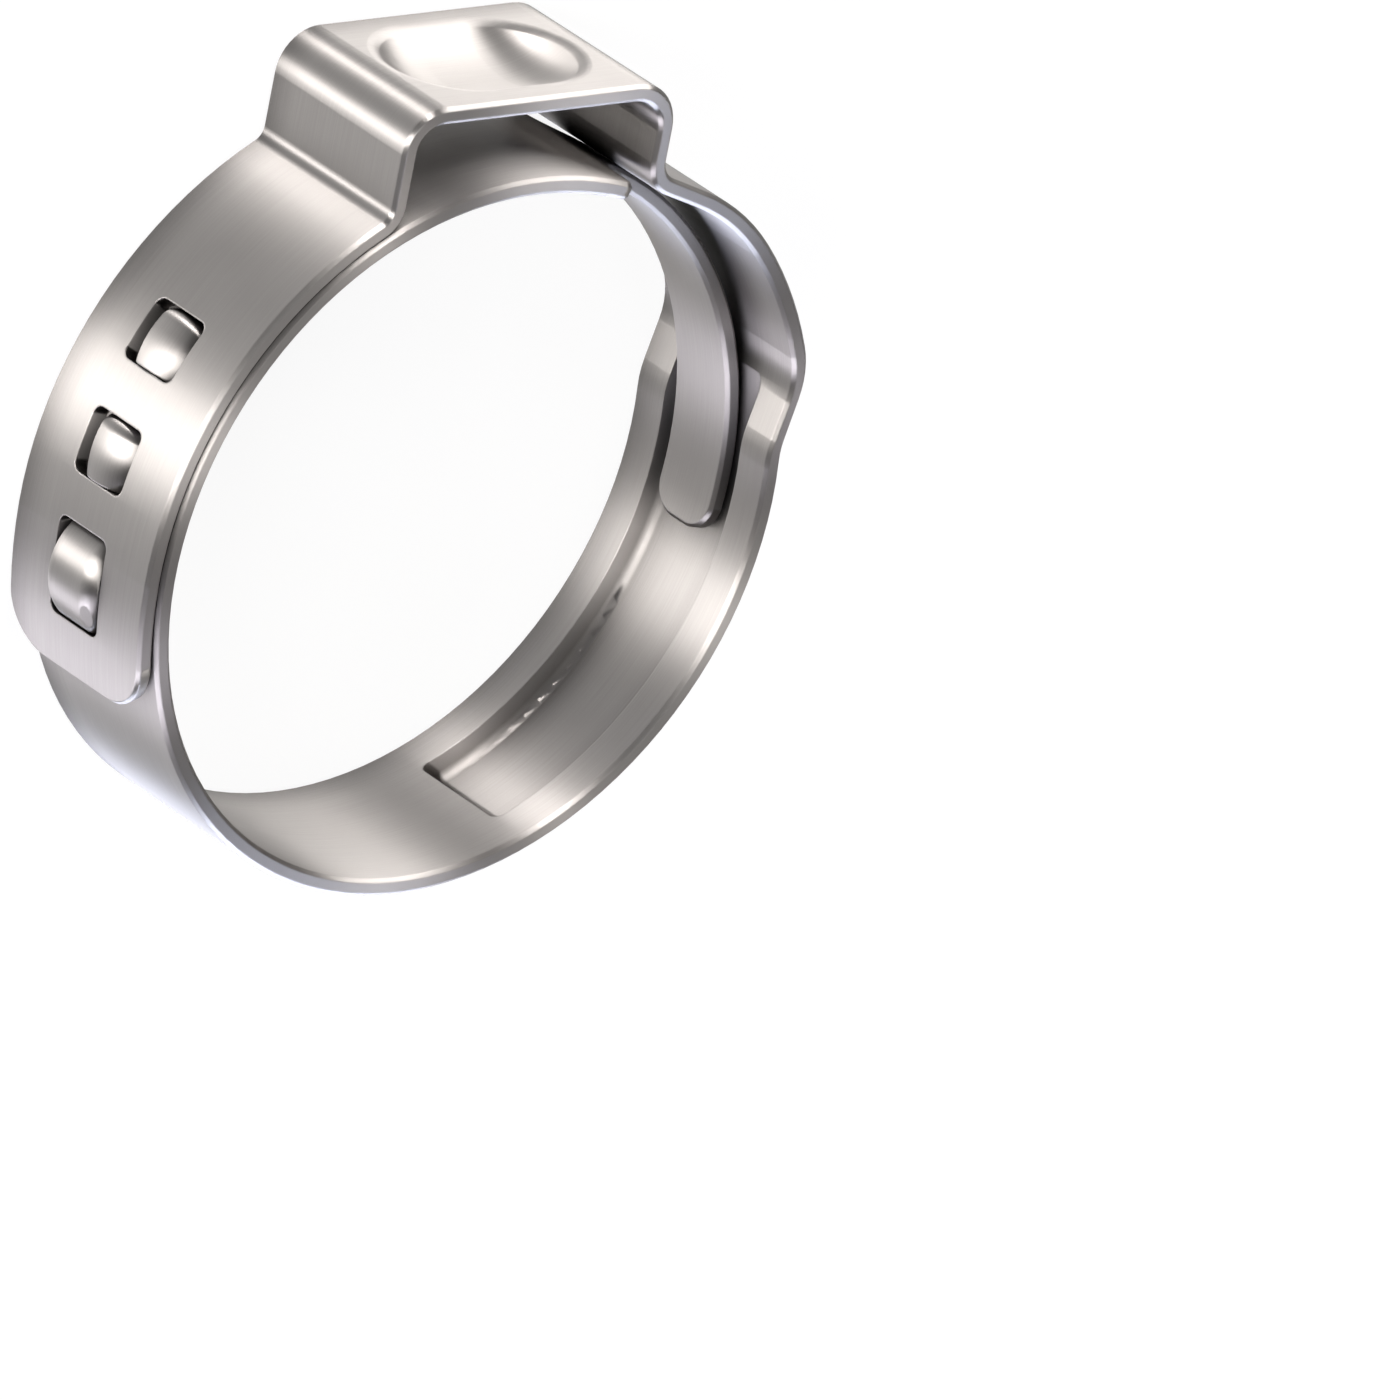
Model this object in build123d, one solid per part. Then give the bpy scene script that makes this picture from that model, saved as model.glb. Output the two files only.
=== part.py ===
from build123d import *
from math import atan2, cos, degrees, radians, sin, sqrt
import os

# Stepless ear hose clamp: one stainless strip rolled round the Z axis, its full-width inner
# end lying under the outer end, the ear on +Y. Millimetres, degrees counter-clockwise from +X.

# strip
bore_radius = 12.05        # inside of the open clamp
strip_thickness = 0.6
strip_width = 7.0
edge_break = 0.12          # bevel along both edges of the strip, on both faces
layer_gap = 0.03           # air between the two layers where they overlap
mid_height = strip_width / 2
root_depth = strip_thickness / 3   # how deep in the strip pressed metal is joined to it
spare = 1.0                # cutters reach this far past what they cut
near = 0.01                # an edge this close to a place is taken to lie there

# outer end
outer_end_angle = 202.6
outer_end_corner = 1.9     # rounded corners of the strip end
lift_start_angle = 181.0   # from here the free end springs a little away from the ring
lifted_radius = 16.5

# ear
ear_left = -6.0            # outer face of the leg beside the outer band
ear_right = 5.18           # outer face of the leg beside the raised band
ear_top = 15.56            # outer face of the roof
ear_left_corner = 1.5      # outer corner radii
ear_right_corner = 1.75
ear_left_foot = 0.55       # hollow radii where the legs leave the band
ear_right_foot = 0.7

# dimple pressed into the ear
dimple_end_margin = 0.3    # from the flat roof's ends, where the ear's corners start
dimple_width = 5.0
dimple_depth = 0.95
dimple_lip = 0.7           # rolled edge round the dimple
dimple_under_lip = 0.3     # the same on the underside

# raised band from the ear to the step, high enough for the tongue to pass inside
raised_radius = 13.2       # inner face
raised_start_angle = 52.0  # full height is reached here, after a slope from the ear's foot
raised_blend = 8.0
step_top_angle = 18.5
step_foot_angle = 7.5
step_blend = 2.6           # mid-line radius at the top and foot of the step

# groove pressed outward in the ring, receiving the tongue
groove_width = 4.1
groove_centre = 3.55
groove_depth = 0.9
groove_wall = 0.5
groove_end_angle = -65.0
groove_start_angle = 24.0  # on the raised band, which leads into the groove
groove_entry_angle = 16.0  # the floor's own radius is reached here
groove_entry_blend = 3.0
groove_end_blend = 0.3
groove_ramp = 3.0          # degrees taken by the slope at the closed end
groove_run_out = 2.0       # degrees the ridge runs on inside the strip past that slope
groove_floor_radius = 0.3  # rounding inside and outside the pressed ridge
groove_ridge_radius = 0.4

# tongue cut from the inner end
tongue_setback = 0.02      # its inner face sits a hair outside the bore
tongue_width = 2.8
tongue_centre = 3.35
tongue_tip_angle = -10.9
tongue_tip_corner = 1.05
shoulder_angle = 70.8
shoulder_hollow = 1.3
shoulder_corner = 0.45
root_angle = 76.0          # the full width starts here, above the shoulders

# windows in the outer band
window_width = 2.5
window_corner = 0.33
short_window_length = 2.28
long_window_length = 3.45
window_angles = (149.6, 166.95)
long_window_angle = 186.0

# hooks pressed out of the inner band, sheared on the side away from the ear
hook_play = 0.05           # sheared face to window end
hook_root = 2.4            # depth of the pressing tools below the band
hook_wall = 0.45           # metal left where a hook has been drawn out
dome_axis_depth = 0.45     # short hooks: round domes about an axis below the band
dome_radius = 1.3
dome_nose_radius = 0.6
dome_crest_radius = 3.8    # of the crest line, highest in the middle
lug_width = 2.4            # long hook: a barrel with a slanted flank
lug_height = 1.12
lug_rise = 1.9             # foot to crest
lug_shoulder = 0.5
lug_slant = 31.0           # of the flank, seen from outside
lug_flank_slope = 52.0     # of the flank, down from the crest
lug_flank_start = 1.13     # from the middle of the lug to the flank, at the window's centre


def polar(radius, angle):
    return (radius * cos(radians(angle)), radius * sin(radians(angle)))


def ring_sector(inner, outer, start, end, bottom, top):
    # curved slab between two radii, two angles and two heights
    with BuildSketch() as sector:
        with BuildLine():
            CenterArc((0, 0), outer, start, end - start)
            CenterArc((0, 0), inner, start, end - start)
            Line(polar(inner, start), polar(outer, start))
            Line(polar(inner, end), polar(outer, end))
        make_face()
    return Pos(0, 0, bottom) * extrude(sector.sketch, top - bottom)


def round_corner(wire, point, radius):
    corner = wire.vertices().sort_by_distance(point)[0]
    return wire.fillet_2d(radius, [corner])


def on_band(radius, angle, height):
    # local X runs along the band away from the ear, local Y outward, local Z down the axis
    x, y = polar(radius, angle)
    return Plane(origin=(x, y, height), x_dir=(-sin(radians(angle)), cos(radians(angle)), 0),
                 z_dir=(0, 0, -1))


ring_outer = bore_radius + strip_thickness
lap_radius = ring_outer + layer_gap
lift_sweep = (outer_end_angle - lift_start_angle) * lap_radius / lifted_radius
lift_centre = polar(lap_radius - lifted_radius, lift_start_angle)
end_angle = lift_start_angle + lift_sweep
last_angle = root_angle - 360


def strip_face(depth):
    # one face of the strip, seen from the side, at a distance outward from the inner face:
    # outer end, outer band, ear, raised band, step, then once round to the shoulders
    inset = strip_thickness - depth
    left_x = ear_left + inset
    right_x = ear_right - inset
    roof_y = ear_top - inset
    left_foot = (left_x, sqrt((lap_radius + depth)**2 - left_x**2))
    right_foot = (right_x, sqrt((lap_radius + depth)**2 - right_x**2))
    left_foot_angle = degrees(atan2(left_foot[1], left_foot[0]))
    raised_start = polar(raised_radius + depth, raised_start_angle)
    step_top = polar(raised_radius + depth, step_top_angle)
    step_foot = polar(bore_radius + depth, step_foot_angle)
    with BuildLine() as line:
        CenterArc(lift_centre, lifted_radius + depth, end_angle, -lift_sweep)
        CenterArc((0, 0), lap_radius + depth, lift_start_angle, left_foot_angle - lift_start_angle)
        Line(left_foot, (left_x, roof_y))
        Line((left_x, roof_y), (right_x, roof_y))
        Line((right_x, roof_y), right_foot)
        Line(right_foot, raised_start)
        CenterArc((0, 0), raised_radius + depth, raised_start_angle,
                  step_top_angle - raised_start_angle)
        Line(step_top, step_foot)
        CenterArc((0, 0), bore_radius + depth, step_foot_angle, last_angle - step_foot_angle)
    face = line.wire()
    face = round_corner(face, (left_x, roof_y), ear_left_corner - inset)
    face = round_corner(face, (right_x, roof_y), ear_right_corner - inset)
    face = round_corner(face, left_foot, ear_left_foot + inset)
    face = round_corner(face, right_foot, ear_right_foot + inset)
    face = round_corner(face, raised_start, raised_blend + depth)
    face = round_corner(face, step_top, step_blend + depth)
    return round_corner(face, step_foot, step_blend + inset)


def end_point(depth):
    x, y = polar(lifted_radius + depth, end_angle)
    return (lift_centre[0] + x, lift_centre[1] + y)


outer_end = Line(end_point(0), end_point(strip_thickness))
inner_end = Line(polar(bore_radius, last_angle), polar(ring_outer, last_angle))
section = make_face([*strip_face(0).edges(), *strip_face(strip_thickness).edges(),
                     outer_end, inner_end])
band = extrude(section, strip_width)

# rounded corners of the outer end, then the broken edges of the strip
end_x, end_y = end_point(strip_thickness / 2)
straight_edges = band.edges().filter_by(GeomType.LINE)
end_corners = [straight_edges.sort_by_distance((end_x, end_y, height))[0]
               for height in (0, strip_width)]
band = fillet(end_corners, outer_end_corner)
joint_x, joint_y = polar(bore_radius + strip_thickness / 2, last_angle)
side_edges = [edge for edge in band.faces().filter_by(Axis.Z).edges()
              if (edge.center() - Vector(joint_x, joint_y, edge.center().Z)).length > edge_break]
band = chamfer(side_edges, edge_break)

# dimple: a long shallow bowl, its underside one strip thickness lower
roof_left = ear_left + ear_left_corner
roof_right = ear_right - ear_right_corner
roof_middle = (roof_left + roof_right) / 2
bowl_radius = (dimple_width**2 / 4 + dimple_depth**2) / (2 * dimple_depth)
bowl_straight = roof_right - roof_left - 2 * dimple_end_margin - dimple_width


def bowl(radius):
    reach = bowl_straight / 2
    with BuildSketch() as half_slot:
        with BuildLine():
            Line((-reach - radius, 0), (reach + radius, 0))
            CenterArc((reach, 0), radius, 0, 90)
            Line((reach, radius), (-reach, radius))
            CenterArc((-reach, 0), radius, 90, 90)
        make_face()
    pill = revolve(half_slot.sketch, Axis.X)
    return Pos(roof_middle, ear_top - dimple_depth + bowl_radius, mid_height) * pill


plate_middle = ear_top - strip_thickness / 2
below_plate = Pos(roof_middle, plate_middle, mid_height) * Box(
    roof_right - roof_left, 2 * bowl_radius, strip_width,
    align=(Align.CENTER, Align.MAX, Align.CENTER))


def dimple_rim(solid, level):
    # the closed edge of the dimple in one face of the ear's roof
    flat_edges = solid.edges().filter_by_position(Axis.Y, level - near, level + near)
    across = flat_edges.filter_by_position(Axis.Z, edge_break + near,
                                           strip_width - edge_break - near)
    return across.filter_by_position(Axis.X, roof_left + near, roof_right - near)


band = band + (bowl(bowl_radius + strip_thickness) & below_plate)
band = fillet(dimple_rim(band, ear_top - strip_thickness), dimple_under_lip)
band = band - bowl(bowl_radius)
band = fillet(dimple_rim(band, ear_top), dimple_lip)

# tongue, narrowed from the inner end by hollow shoulders
tongue = ring_sector(bore_radius + tongue_setback, ring_outer, tongue_tip_angle, root_angle,
                     0, strip_width)
tongue_bottom = tongue_centre - tongue_width / 2
tongue_top = tongue_centre + tongue_width / 2
cut_inner = bore_radius - spare
for bottom, top in ((-spare, tongue_bottom), (tongue_top, strip_width + spare)):
    tongue = tongue - ring_sector(cut_inner, ring_outer + spare, tongue_tip_angle - spare,
                                  shoulder_angle, bottom, top)


def radial_edge(solid, angle, height):
    x, y = polar(bore_radius + strip_thickness / 2, angle)
    return solid.edges().filter_by(GeomType.LINE).sort_by_distance((x, y, height))[0]


for height in (tongue_bottom, tongue_top):
    tongue = fillet(radial_edge(tongue, tongue_tip_angle, height), tongue_tip_corner)
    tongue = fillet(radial_edge(tongue, shoulder_angle, height), shoulder_hollow)
for height in (0, strip_width):
    tongue = fillet(radial_edge(tongue, shoulder_angle, height), shoulder_corner)
rims = tongue.faces().filter_by(Axis.Z).edges().filter_by(GeomType.CIRCLE)
tongue = chamfer(rims, edge_break)

# groove: a ridge pressed outward and its hollow, open to the bore and to the raised band
groove_bottom = groove_centre - groove_width / 2
groove_top = groove_centre + groove_width / 2
groove_floor = bore_radius + groove_depth
ridge_end_angle = groove_end_angle - groove_ramp - groove_run_out


def ring_path(depth):
    # the plain strip from the raised band down the step and on past the end of the groove
    step_top = polar(raised_radius + depth, step_top_angle)
    step_foot = polar(bore_radius + depth, step_foot_angle)
    with BuildLine() as line:
        CenterArc((0, 0), raised_radius + depth, groove_start_angle,
                  step_top_angle - groove_start_angle)
        Line(step_top, step_foot)
        CenterArc((0, 0), bore_radius + depth, step_foot_angle,
                  ridge_end_angle - step_foot_angle)
    path = round_corner(line.wire(), step_top, step_blend + depth)
    return round_corner(path, step_foot, step_blend + strip_thickness - depth)


def groove_path(depth, end_radius, end_angle):
    # the floor of the groove, from the raised band to the slope at its closed end
    entry = polar(groove_floor + depth, groove_entry_angle)
    floor_end = polar(groove_floor + depth, groove_end_angle)
    with BuildLine() as line:
        Line(polar(raised_radius + depth, groove_start_angle), entry)
        CenterArc((0, 0), groove_floor + depth, groove_entry_angle,
                  groove_end_angle - groove_entry_angle)
        Line(floor_end, polar(end_radius, end_angle))
    path = round_corner(line.wire(), entry, groove_entry_blend + strip_thickness - depth)
    return round_corner(path, floor_end, groove_end_blend + depth)


def closed_face(*wires):
    return make_face([edge for wire in wires for edge in wire.edges()])


ridge_path = groove_path(strip_thickness, bore_radius + root_depth, ridge_end_angle)
ridge_side = closed_face(
    ridge_path, ring_path(root_depth),
    Wire(Line(polar(raised_radius + root_depth, groove_start_angle),
              polar(raised_radius + strip_thickness, groove_start_angle))))
hollow_end = groove_end_angle - groove_ramp * (1 + spare / groove_depth)
floor_path = groove_path(0, cut_inner, hollow_end)
hollow_side = closed_face(
    floor_path,
    Wire(CenterArc((0, 0), cut_inner, hollow_end, groove_start_angle - hollow_end)),
    Wire(Line(polar(cut_inner, groove_start_angle), polar(raised_radius, groove_start_angle))))


def pressed(side, path, bottom, top, radius):
    # side view drawn out between two heights, with the edges along the path rounded
    block = Pos(0, 0, bottom) * extrude(side, top - bottom)
    rims = [edge for edge in block.faces().filter_by(Axis.Z).edges()
            if path.distance_to(Vector((edge @ 0.5).X, (edge @ 0.5).Y, 0)) < near]
    return fillet(rims, radius)


ridge = pressed(ridge_side, ridge_path, groove_bottom - groove_wall, groove_top + groove_wall,
                groove_ridge_radius)
hollow = pressed(hollow_side, floor_path, groove_bottom, groove_top, groove_floor_radius)
band = band + ridge - hollow + tongue

# windows through the outer band only, on the side of the ring away from the step
window_reach = lap_radius + strip_thickness
cutter_height = 4 * spare
over_band = ring_sector(ring_outer + layer_gap / 2, window_reach + cutter_height, 90, 270,
                        -spare, strip_width + spare)


def window(angle, length):
    opening = Box(length, cutter_height, window_width)
    opening = fillet(opening.edges().filter_by(Axis.Y), window_corner)
    return on_band(window_reach, angle, mid_height) * opening & over_band


for angle in window_angles:
    band = band - window(angle, short_window_length)
band = band - window(long_window_angle, long_window_length)

# hooks: blisters pressed out of the inner band into the windows
through_band = ring_sector(bore_radius + root_depth, window_reach + cutter_height, 90, 270,
                           0, strip_width)


def dome(length, skin):
    # a barrel about local X, sheared at X = 0; skin is the distance inward from its outside
    crest = dome_radius - skin
    tail = length - skin
    sag = dome_crest_radius - sqrt(dome_crest_radius**2 - (length / 2)**2)
    if skin > 0:
        rod = Cylinder(crest - sag, tail, align=(Align.CENTER, Align.CENTER, Align.MAX))
        return Pos(0, -dome_axis_depth, 0) * Rot(0, 90, 0) * rod
    with BuildSketch() as half_side:
        with BuildLine() as outline:
            ThreePointArc((0, crest - sag), (-length / 2, crest), (-tail, crest - sag))
            Line((-tail, crest - sag), (-tail, 0))
            Line((-tail, 0), (0, 0))
            Line((0, 0), (0, crest - sag))
        make_face()
        fillet(half_side.vertices().sort_by_distance((-tail, crest - sag))[0], dome_nose_radius)
    return Pos(0, -dome_axis_depth, 0) * revolve(half_side.sketch, Axis.X)


def lug(length, skin):
    # a cylinder across the strip, rising from its foot and sinking again to the sheared face
    barrel_radius = (lug_rise**2 + lug_height**2) / (2 * lug_height)
    reach = barrel_radius - skin
    centre = (lug_rise - length, lug_height - barrel_radius)
    half_width = lug_width / 2 - skin * hook_wall / strip_thickness
    foot_x = centre[0] - reach
    shear_y = centre[1] + sqrt(reach**2 - centre[0]**2)
    with BuildSketch() as side_view:
        with BuildLine():
            Line((0, -hook_root), (0, shear_y))
            ThreePointArc((0, shear_y), (centre[0], centre[1] + reach), (foot_x, centre[1]))
            Line((foot_x, centre[1]), (foot_x, -hook_root))
            Line((foot_x, -hook_root), (0, -hook_root))
        make_face()
    block = Pos(0, 0, -half_width) * extrude(side_view.sketch, 2 * half_width)
    flank = Pos(-length / 2, lug_height, -lug_flank_start) * Rot(0, -lug_slant, 0)
    flank = flank * Rot(lug_flank_slope, 0, 0) * Pos(0, 0, skin) * Box(
        2 * cutter_height, 2 * cutter_height, cutter_height,
        align=(Align.CENTER, Align.CENTER, Align.MAX))
    if skin == 0:
        block = fillet(block.edges().filter_by(GeomType.CIRCLE), lug_shoulder)
    return block - flank


for angle in window_angles:
    length = short_window_length - hook_play
    seat = on_band(ring_outer, angle, mid_height) * Pos(short_window_length / 2 - hook_play, 0, 0)
    band = band + (seat * dome(length, 0) & through_band) - seat * dome(length, hook_wall)
length = long_window_length - hook_play
seat = on_band(ring_outer, long_window_angle, mid_height)
seat = seat * Pos(long_window_length / 2 - hook_play, 0, 0)
band = band + (seat * lug(length, 0) & through_band) - seat * lug(length, strip_thickness)

os.makedirs("parts", exist_ok=True)
export_step(band, "parts/clamp_band.step")
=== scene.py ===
import bpy
from math import cos, radians, sin
from mathutils import Matrix, Vector

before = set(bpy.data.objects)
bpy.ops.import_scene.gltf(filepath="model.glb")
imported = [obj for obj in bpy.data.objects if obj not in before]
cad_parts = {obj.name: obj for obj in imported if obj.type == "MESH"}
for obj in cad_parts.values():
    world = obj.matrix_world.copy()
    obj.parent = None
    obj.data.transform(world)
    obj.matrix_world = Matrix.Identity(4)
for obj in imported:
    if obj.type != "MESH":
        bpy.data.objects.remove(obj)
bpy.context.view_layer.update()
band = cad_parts["clamp_band"]

# camera, a long lens far off, looking down on the clamp as it lies
cameraView = {
    "place": (-0.5156193, 0.3122223, 0.5817107),
    "turn": ((0.7730603, 0.1068034, -0.6252766),
             (0.1811442, 0.9075073, 0.3789686),
             (0.6079182, -0.4062308, 0.6822111)),
    "lens": 665.57,   # mm
    "sensor": 36,     # mm across
    "near": 0.01,     # metres
    "far": 20,
}


def linear(code):
    # sRGB hex to linear colour
    parts = [int(code[i:i + 2], 16) / 255 for i in (1, 3, 5)]
    return tuple(p / 12.92 if p <= 0.04045 else ((p + 0.055) / 1.055) ** 2.4 for p in parts) + (1,)


def addNode(tree, kind, links=None, **settings):
    # one node with its settings and links; settings named after inputs set those inputs
    node = tree.nodes.new(kind)
    for name, value in settings.items():
        if hasattr(node, name):
            setattr(node, name, value)
        else:
            node.inputs[name.replace("_", " ")].default_value = value
    for name, source in (links or {}).items():
        tree.links.new(source, node.inputs[name])
    return node


def makeCamera():
    data = bpy.data.cameras.new("camera")
    data.lens = cameraView["lens"]
    data.sensor_width = cameraView["sensor"]
    data.clip_start = cameraView["near"]
    data.clip_end = cameraView["far"]
    camera = bpy.data.objects.new("camera", data)
    turn = Matrix(cameraView["turn"]).to_4x4()
    camera.matrix_world = Matrix.Translation(cameraView["place"]) @ turn
    bpy.context.scene.collection.objects.link(camera)
    bpy.context.scene.camera = camera


makeCamera()
print("camera placed")

# stainless steel strip, cold rolled and brushed lengthways: soft grey that stretches every
# reflection across the strip, with hair-fine streaks along it
steel = {
    "colour": "#ACA9A6",
    "shade": "#9D9997",         # colour inside a streak
    "roughness": 0.45,
    "roughnessPlay": 0.08,      # how far the roughness wanders in patches
    "stretch": 0.95,            # how much wider reflections run across the strip than along it
    "outward": 8,               # how fast, per metre, the stretch turns away from the bore
    "streakWidth": 0.00004,     # metres
    "streakLength": 0.003,
    "streakDepth": 0.0000015,
    "patch": 0.004,             # size of a dull or bright patch, metres
    "edge": 0.00008,            # rounding every sheared edge shows, metres
    "edgeRays": 6,
    "gap": 0.0015,              # how near the strip comes to itself before its colour takes painted shade, metres
    "paintedGapShade": 0.2,            # colour left at the bottom of such a gap under the painted shade
    "gapRays": 8,
}


def makeSteel():
    material = bpy.data.materials.new("brushedStainlessStrip")
    material.use_nodes = True
    tree = material.node_tree
    shader = tree.nodes["Principled BSDF"]
    place = addNode(tree, "ShaderNodeTexCoord").outputs["Object"]
    # reflections stretch along Z, and outward from the bore on the sheared rims
    outward = addNode(tree, "ShaderNodeVectorMath", {0: place}, operation="MULTIPLY")
    outward.inputs[1].default_value = (steel["outward"], steel["outward"], 0)
    grain = addNode(tree, "ShaderNodeVectorMath", {0: outward.outputs[0]}, operation="ADD")
    grain.inputs[1].default_value = (0, 0, 1)
    tree.links.new(grain.outputs[0], shader.inputs["Tangent"])
    # streaks run round the band and change fast across it
    along = 1 / steel["streakLength"]
    brushed = addNode(tree, "ShaderNodeVectorMath", {0: place}, operation="MULTIPLY")
    brushed.inputs[1].default_value = (along, along, 1 / steel["streakWidth"])
    streak = addNode(tree, "ShaderNodeTexNoise", {"Vector": brushed.outputs[0]}, Scale=1, Detail=3)
    patch = addNode(tree, "ShaderNodeTexNoise", {"Vector": place},
                    Scale=1 / steel["patch"], Detail=2)
    tone = addNode(tree, "ShaderNodeMix", {"Factor": streak.outputs["Fac"]}, data_type="RGBA")
    tone.inputs["A"].default_value = linear(steel["shade"])
    tone.inputs["B"].default_value = linear(steel["colour"])
    # painted shade: where the strip faces itself across a narrow gap, an occlusion mask darkens
    # the base colour
    facing = addNode(tree, "ShaderNodeAmbientOcclusion", Distance=steel["gap"],
                     samples=steel["gapRays"])
    light = addNode(tree, "ShaderNodeMapRange", {"Value": facing.outputs["AO"]})
    light.inputs["To Min"].default_value = steel["paintedGapShade"]
    paintedShadeColour = addNode(tree, "ShaderNodeVectorMath", {0: tone.outputs["Result"],
                                                    "Scale": light.outputs["Result"]},
                     operation="SCALE")
    tree.links.new(paintedShadeColour.outputs[0], shader.inputs["Base Color"])
    dull = addNode(tree, "ShaderNodeMapRange", {"Value": patch.outputs["Fac"]})
    dull.inputs["To Min"].default_value = steel["roughness"] - steel["roughnessPlay"]
    dull.inputs["To Max"].default_value = steel["roughness"] + steel["roughnessPlay"]
    tree.links.new(dull.outputs["Result"], shader.inputs["Roughness"])
    edge = addNode(tree, "ShaderNodeBevel", Radius=steel["edge"], samples=steel["edgeRays"])
    relief = addNode(tree, "ShaderNodeBump", {"Height": streak.outputs["Fac"],
                                              "Normal": edge.outputs[0]},
                     Distance=steel["streakDepth"])
    tree.links.new(relief.outputs[0], shader.inputs["Normal"])
    shader.inputs["Metallic"].default_value = 1
    shader.inputs["Anisotropic"].default_value = steel["stretch"]
    return material


steelMaterial = makeSteel()
band.data.materials.clear()
band.data.materials.append(steelMaterial)
print("steel on the band")

studio = {
    "floorSize": 6,        # metres
    "floorOwn": 0.9,       # share of the floor's white that is its own, the rest takes the shadow
    "floorColour": 0.9,    # grey level of that rest
    "worldColour": "#C4C4C6",
    "world": 0.15,
    "wattsPerArea": 4,     # lamp power for one square metre at a brightness of 1
}

# soft lamps: compass angle, height angle, distance, width, height, brightness, colour
softboxes = {
    "left": (169, 20, 0.5, 0.2, 0.4, 11.47, "#FFFCFA"),
    "upper": (96, 20, 0.5, 0.1, 0.4, 15.73, "#FFFBF9"),
    "overhead": (329, 52, 0.6, 0.4, 0.3, 0.46, "#FFFBF8"),
    "lower": (290, 10, 0.5, 0.4, 0.2, 11.10, "#DFE7FF"),
    "back": (45, 16, 0.5, 0.26, 0.32, 7.40, "#FFFCFA"),
    "narrow": (231, 18, 0.5, 0.21, 0.36, 6.66, "#F4F2FF"),
    "top": (150, 86, 0.8, 0.5, 0.5, 0.93, "#FFFFFF"),
}


def makeFloor():
    bpy.ops.mesh.primitive_plane_add(size=studio["floorSize"])
    floor = bpy.context.object
    floor.name = "floor"
    material = bpy.data.materials.new("whiteFloor")
    material.use_nodes = True
    tree = material.node_tree
    tree.nodes.clear()
    out = addNode(tree, "ShaderNodeOutputMaterial")
    path = addNode(tree, "ShaderNodeLightPath")
    # the camera, metal and glass all meet the same white
    mirrored = addNode(tree, "ShaderNodeMath", {0: path.outputs["Is Glossy Ray"],
                                                1: path.outputs["Is Transmission Ray"]},
                       operation="MAXIMUM")
    seen = addNode(tree, "ShaderNodeMath", {0: path.outputs["Is Camera Ray"],
                                            1: mirrored.outputs[0]}, operation="MAXIMUM")
    share = addNode(tree, "ShaderNodeMath", {0: seen.outputs[0]}, operation="MULTIPLY")
    share.inputs[1].default_value = studio["floorOwn"]
    grey = studio["floorColour"]
    diffuse = addNode(tree, "ShaderNodeBsdfDiffuse", Color=(grey, grey, grey, 1))
    glow = addNode(tree, "ShaderNodeEmission", Color=(1, 1, 1, 1), Strength=1.0)
    mix = addNode(tree, "ShaderNodeMixShader", {0: share.outputs[0], 1: diffuse.outputs[0],
                                                2: glow.outputs[0]})
    tree.links.new(mix.outputs[0], out.inputs[0])
    floor.data.materials.append(material)


def makeLights():
    world = bpy.data.worlds.new("studio")
    bpy.context.scene.world = world
    world.use_nodes = True
    background = world.node_tree.nodes["Background"]
    background.inputs["Color"].default_value = linear(studio["worldColour"])
    background.inputs["Strength"].default_value = studio["world"]
    for name, (compass, height, distance, width, tall, brightness, colour) in softboxes.items():
        data = bpy.data.lights.new(name + "Softbox", "AREA")
        data.shape = "RECTANGLE"
        data.size = width
        data.size_y = tall
        data.color = linear(colour)[:3]
        data.energy = brightness * studio["wattsPerArea"] * width * tall
        lamp = bpy.data.objects.new(name + "Softbox", data)
        lamp.rotation_euler = (radians(90 - height), 0, radians(compass + 90))
        outward = Vector((cos(radians(compass)) * cos(radians(height)),
                          sin(radians(compass)) * cos(radians(height)), sin(radians(height))))
        lamp.location = outward * distance
        bpy.context.scene.collection.objects.link(lamp)


makeFloor()
makeLights()
bpy.context.scene.view_settings.view_transform = "Standard"
print("studio lit")
